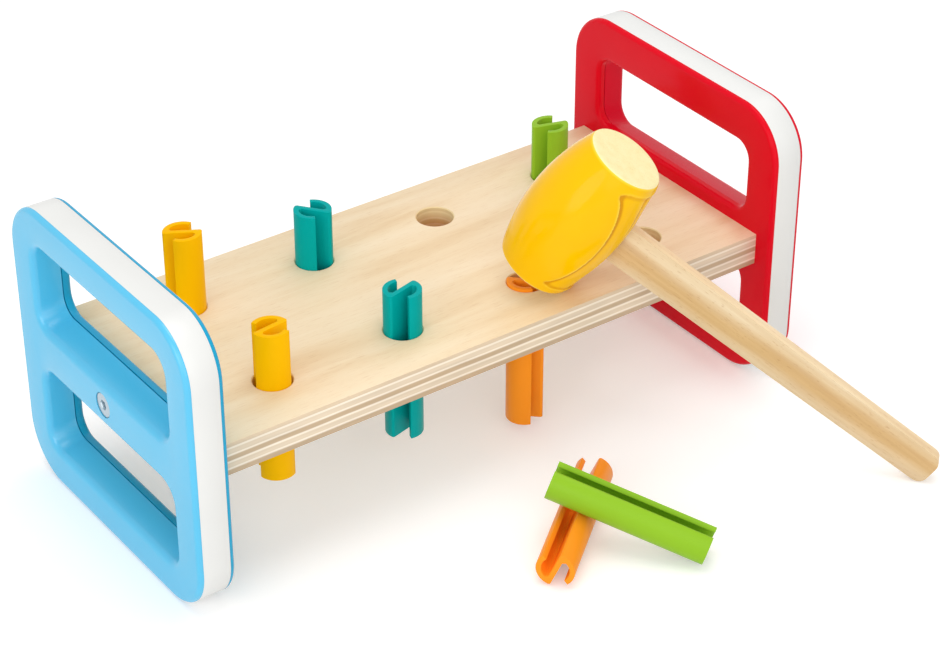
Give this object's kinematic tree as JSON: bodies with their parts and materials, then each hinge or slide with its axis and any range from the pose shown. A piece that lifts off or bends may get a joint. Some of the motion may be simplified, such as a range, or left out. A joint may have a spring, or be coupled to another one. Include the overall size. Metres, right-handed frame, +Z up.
{
  "type": "peg pounding bench",
  "caption": "Wooden toy pounding bench: a holed plywood board between two windowed end panels, split plastic pegs to hammer through it, and a barrel-headed mallet.",
  "frame": {"origin": "on the ground, at the centre of the whole set's footprint, mallet and loose pegs included", "axes": "+X along the board towards the red panel, +Y to the back (away from the mallet's handle), +Z up"},
  "size_m": [0.294, 0.231, 0.1407],
  "materials": {
    "birch_ply": "satin lacquer",
    "beech": "satin lacquer",
    "blue_plastic": "gloss",
    "deep_blue_plastic": "gloss",
    "red_plastic": "gloss",
    "white_plastic": "satin",
    "yellow_plastic": "satin",
    "teal_plastic": "satin",
    "green_plastic": "satin",
    "orange_plastic": "satin",
    "yellow_paint": "gloss paint on the barrel, bare wood on its two ends",
    "steel": "zinc plated",
    "brass": "as turned"
  },
  "bodies": {
    "bench": {"board": "birch_ply", "blue_outer_shell": "blue_plastic", "blue_rim_band": "white_plastic", "blue_inner_shell": "deep_blue_plastic", "blue_bolt": "steel", "blue_insert": "brass", "blue_dowels": "beech", "red_outer_shell": "red_plastic", "red_rim_band": "white_plastic", "red_inner_shell": "red_plastic", "red_bolt": "steel", "red_insert": "brass", "red_dowels": "beech"},
    "yellow_peg_back": {"yellow_peg_back": "yellow_plastic"},
    "yellow_peg_front": {"yellow_peg_front": "yellow_plastic"},
    "teal_peg_back": {"teal_peg_back": "teal_plastic"},
    "teal_peg_front": {"teal_peg_front": "teal_plastic"},
    "green_peg_back": {"green_peg_back": "green_plastic"},
    "orange_peg_driven": {"orange_peg_driven": "orange_plastic"},
    "orange_peg_loose": {"orange_peg_loose": "orange_plastic"},
    "green_peg_loose": {"green_peg_loose": "green_plastic"},
    "mallet": {"mallet_head": "yellow_paint", "mallet_handle": "beech"}
  },
  "joints": [
    {"name": "yellow_back_slide", "type": "slide", "parent": "bench", "child": "yellow_peg_back", "axis": [0, 0, 1], "range_m": [-0.035, 0.0175]},
    {"name": "yellow_front_slide", "type": "slide", "parent": "bench", "child": "yellow_peg_front", "axis": [0, 0, 1], "range_m": [-0.0242, 0.0283]},
    {"name": "teal_back_slide", "type": "slide", "parent": "bench", "child": "teal_peg_back", "axis": [0, 0, 1], "range_m": [-0.0244, 0.0281]},
    {"name": "teal_front_slide", "type": "slide", "parent": "bench", "child": "teal_peg_front", "axis": [0, 0, 1], "range_m": [-0.0188, 0.0337]},
    {"name": "green_back_slide", "type": "slide", "parent": "bench", "child": "green_peg_back", "axis": [0, 0, 1], "range_m": [-0.025, 0.0275]},
    {"name": "orange_driven_slide", "type": "slide", "parent": "bench", "child": "orange_peg_driven", "axis": [0, 0, 1], "range_m": [-0.001, 0.004]},
    {"name": "loose_orange_draw", "type": "slide", "parent": "bench", "child": "orange_peg_loose", "axis": [-0.7771, -0.6293, 0], "range_m": [0, 0.07]},
    {"name": "loose_green_lift", "type": "slide", "parent": "bench", "child": "green_peg_loose", "axis": [0, 0, 1], "range_m": [0, 0.1]},
    {"name": "mallet_lift", "type": "slide", "parent": "bench", "child": "mallet", "axis": [0, 0, 1], "range_m": [0, 0.15]}
  ]
}
